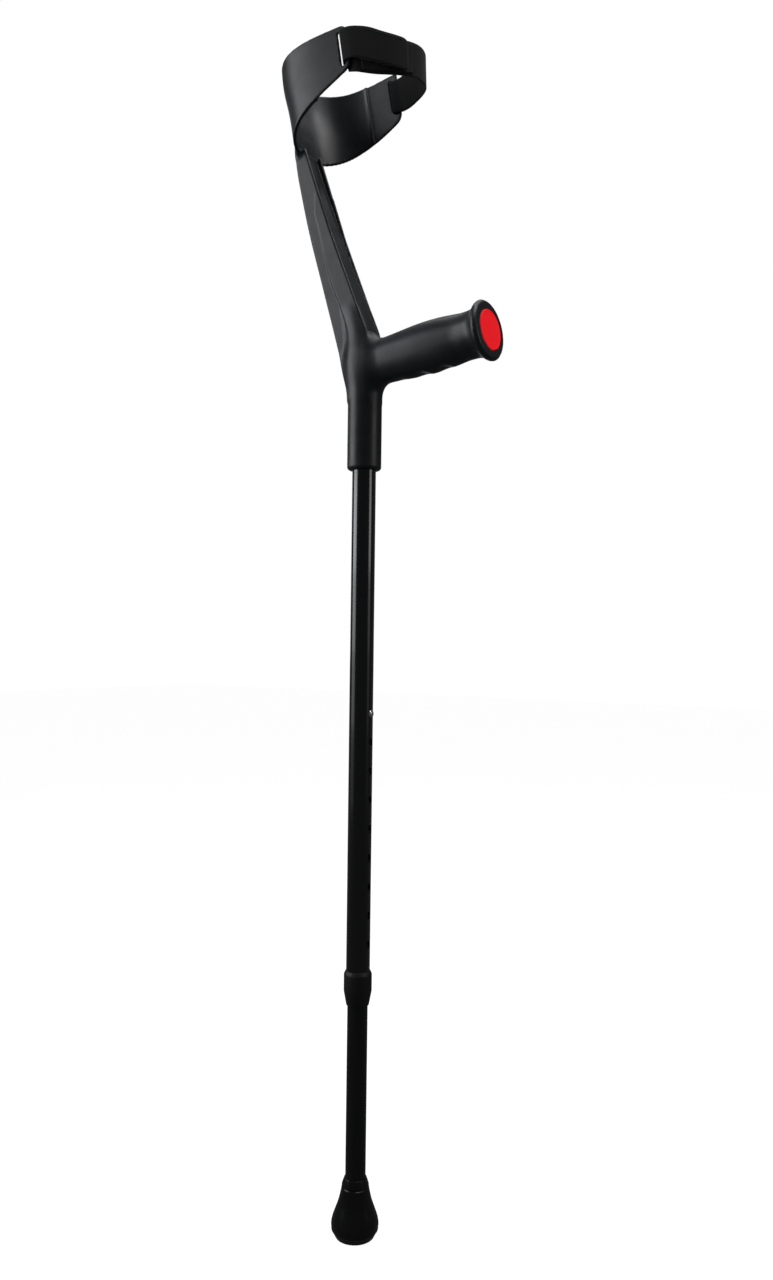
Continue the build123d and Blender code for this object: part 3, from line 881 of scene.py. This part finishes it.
def patch(name, offset, thickness, last_angle, low, high, finish, slot, body_name, replaced):
    """Sewn-on patch between the strap's layers."""
    line = wrap_line(offset)
    line = line[(line[:, 2] < last_angle) & (line[:, 0] > SHOULDER_X[-1] + 8)]
    angle = round_angle(line)
    inset_low, inset_high = low(angle) + PATCH_INSET, high(angle) - PATCH_INSET
    obj = strip(name, line, inset_low, inset_high, thickness, finish, 41)
    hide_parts(replaced)
    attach(obj, body_name)


loop_offset = (STRAP_THICKNESS + 1.3) / 2
loop_edges = BAND_LOW, BAND_HIGH
patch(
    "loop_pad", loop_offset, 1.28, -13, *loop_edges, LOOP, "loop_pile", "upper_frame", "loop_patch"
)
hook_offset = LAYER_OFFSET - (STRAP_THICKNESS + 1.15) / 2
hook_edges = TAIL_LOW, TAIL_HIGH
patch("hook_tape", hook_offset, 1.13, -26, *hook_edges, HOOK, "hook_pad", "tail", "hook_patch")


def stitches(name, spans, replaced, body_name):
    """Short rounded threads between pairs of points."""
    points, faces = [], []
    for start, end in spans:
        start, end = Vector(start), Vector(end)
        length = (end - start).length
        profile = [(THREAD_R * sin(a), -THREAD_R * cos(a)) for a in np.linspace(0, pi / 2, 4)]
        profile += dome(THREAD_R, length, THREAD_R, 4)
        made, sides = lathe(profile, end - start, start, 8)
        faces += [[len(points) + k for k in face] for face in sides]
        points += made
    obj = add_mesh(name, points, faces, THREAD.material)
    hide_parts(replaced)
    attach(obj, body_name)


THREAD_OUT = -(STRAP_THICKNESS / 2 + 0.1)


def on_strip(line, low, high, index, share):
    """Point just outside a strip's face, a share of the way up, for a thread to pass."""
    angle = radians(line[index, 2])
    z = low[index] + (high[index] - low[index]) * share
    lean = CUFF_LEAN * strap_lean(line)[index] * (z - CUFF_LEVEL)
    x = line[index, 0] + THREAD_OUT * cos(angle) - lean
    return x, line[index, 1] + THREAD_OUT * sin(angle), z


tail_edges = tail_line, tail_low, tail_high
tail_spans = [
    (on_strip(*tail_edges, i, share), on_strip(*tail_edges, i - 1, share))
    for share in (0.1, 0.9)
    for i in range(len(tail_line) - 5, len(tail_line) - 24, -2)
]
stitches("tail_thread", tail_spans, "tail_stitches", "tail")

sewn_edges = whole, band_low, band_high
sewn_spans = [
    (on_strip(*sewn_edges, i, 0.07 + k * 0.1), on_strip(*sewn_edges, i, 0.13 + k * 0.1))
    for i in (len(whole) - 3, len(whole) - 12)
    for k in range(9)
]
stitches("far_end_thread", sewn_spans, "strap_end_stitches", "upper_frame")


# ---------------------------------------------------------------- CAD nodes that stay
for name, finish, slot in (
    ("outer_tube", TUBE, "tube_black"),
    ("inner_tube", INNER_TUBE, "inner_tube_black"),
    ("tube_guide_bush", BUSH, "bush_plastic"),
    ("button_spring", SPRING, "spring_steel"),
    ("ferrule_disc", SPRING, "spring_steel"),
):
    node = nodes[name]
    node.data.materials.clear()
    node.data.materials.append(finish.material)


# ---------------------------------------------------------------- stage, lights and camera
# Camera fitted to the outlines in the photo
VIEW_TURN = radians(34)
VIEW_ROLL = radians(0.71)
CAMERA_PLACE = (0.5374, -0.758, 0.5265)
CAMERA_LENS = 29.53
forward = Vector((-sin(VIEW_TURN), cos(VIEW_TURN), 0))
level_right = Vector((cos(VIEW_TURN), sin(VIEW_TURN), 0))
right = level_right * cos(VIEW_ROLL) + Vector((0, 0, sin(VIEW_ROLL)))
upward = Vector((0, 0, cos(VIEW_ROLL))) - level_right * sin(VIEW_ROLL)
camera_data = bpy.data.cameras.new("camera")
camera_data.sensor_width = 36.0
camera_data.lens = CAMERA_LENS
camera_data.clip_start, camera_data.clip_end = 0.01, 50.0
camera = bpy.data.objects.new("camera", camera_data)
bpy.context.scene.collection.objects.link(camera)
turn = Matrix((right, upward, -forward)).transposed().to_4x4()
camera.matrix_world = Matrix.Translation(CAMERA_PLACE) @ turn
bpy.context.scene.camera = camera


def area_light(name, place, target, width, height, power, colour):
    data = bpy.data.lights.new(name, "AREA")
    data.shape, data.size, data.size_y = "RECTANGLE", width, height
    data.energy, data.color = power, colour
    lamp = bpy.data.objects.new(name, data)
    bpy.context.scene.collection.objects.link(lamp)
    lamp.location = place
    lamp.rotation_mode = "QUATERNION"
    lamp.rotation_quaternion = (Vector(target) - Vector(place)).to_track_quat("-Z", "Y")


# Upright softboxes in parts that fade towards the floor, for the two streaks on the tubes.
# Each part: height of its middle, its own height, power.
LEFT_PARTS = (
    (1.38, 1.0, 8.8),
    (0.78, 0.2, 2.2),
    (0.59, 0.18, 1.0),
    (0.415, 0.17, 0.37),
    (0.24, 0.18, 0.1),
)
RIGHT_PARTS = (
    (1.08, 0.4, 1.1),
    (0.78, 0.2, 0.6),
    (0.59, 0.18, 0.12),
    (0.415, 0.17, 0.044),
    (0.24, 0.18, 0.012),
)
WHITE, COOL = (1.0, 1.0, 1.0), (0.97, 0.98, 1.0)
LEFT_COLOUR, RIGHT_COLOUR = (0.94, 0.97, 1.0), (1.0, 1.0, 0.97)
middle = Vector((0.01, 0.0, 0.55))
left_box = middle - level_right * 1.4 - forward * 0.05
right_box = middle + level_right * 1.3 - forward * 0.5
for name, place, width, colour, parts in (
    ("left_softbox", left_box, 1.0, LEFT_COLOUR, LEFT_PARTS),
    ("right_softbox", right_box, 0.55, RIGHT_COLOUR, RIGHT_PARTS),
):
    for level, size, power in parts:
        spot, target = Vector((place.x, place.y, level)), Vector((middle.x, middle.y, level))
        area_light(f"{name}_{level:g}", spot, target, width, size, power, colour)
back_box = middle + forward * 1.6 - level_right * 0.3 + Vector((0, 0, 0.5))
top_box = middle + Vector((-0.1, 0.3, 1.5))
area_light("grip_end_softbox", (0.7, -0.05, 2.0), (0.127, 0, 0.78), 0.6, 0.6, 5, WHITE)
area_light("back_softbox", back_box, middle, 1.2, 1.2, 2.5, COOL)
area_light("top_softbox", top_box, middle, 1.2, 1.2, 7, COOL)

# The world lights the part dimly and shows white to the camera
WORLD_COLOUR, WORLD_STRENGTH = (0.8, 0.82, 0.85, 1), 0.07
world = bpy.data.worlds.new("studio")
world.use_nodes = True
tree = world.node_tree
background = tree.nodes["Background"]
background.inputs["Color"].default_value = WORLD_COLOUR
background.inputs["Strength"].default_value = WORLD_STRENGTH
seen = tree.nodes.new("ShaderNodeBackground")
seen.inputs["Color"].default_value = (1, 1, 1, 1)
rays = tree.nodes.new("ShaderNodeLightPath")
mix = tree.nodes.new("ShaderNodeMixShader")
tree.links.new(rays.outputs["Is Camera Ray"], mix.inputs["Fac"])
tree.links.new(background.outputs["Background"], mix.inputs[1])
tree.links.new(seen.outputs["Background"], mix.inputs[2])
tree.links.new(mix.outputs["Shader"], tree.nodes["World Output"].inputs["Surface"])
bpy.context.scene.world = world

FLOOR_HALF = 8.0
FLOOR_GAP = 0.0005
FLOOR_GREYS = [(0.3, (0.2, 0.2, 0.2, 1)), (0.7, (0.22, 0.22, 0.22, 1))]
floor_mesh = bpy.data.meshes.new("floor")
signs = ((-1, -1), (1, -1), (1, 1), (-1, 1))
floor_corners = [(FLOOR_HALF * x, FLOOR_HALF * y, 0) for x, y in signs]
floor_mesh.from_pydata(floor_corners, [], [(0, 1, 2, 3)])
floor = bpy.data.objects.new("floor", floor_mesh)
floor.location.z = -FLOOR_GAP
bpy.context.scene.collection.objects.link(floor)
pale = Finish("pale_floor", 0.9, Emission_Color=(1, 1, 1, 1), Emission_Strength=0.97)
pale.colour(pale.ramp(pale.noise((3, 3, 3)), FLOOR_GREYS))
floor_mesh.materials.append(pale.material)
# The camera sees the floor, but it doesn't light the part
floor.visible_glossy = floor.visible_diffuse = False

bpy.context.scene.view_settings.view_transform = "Standard"
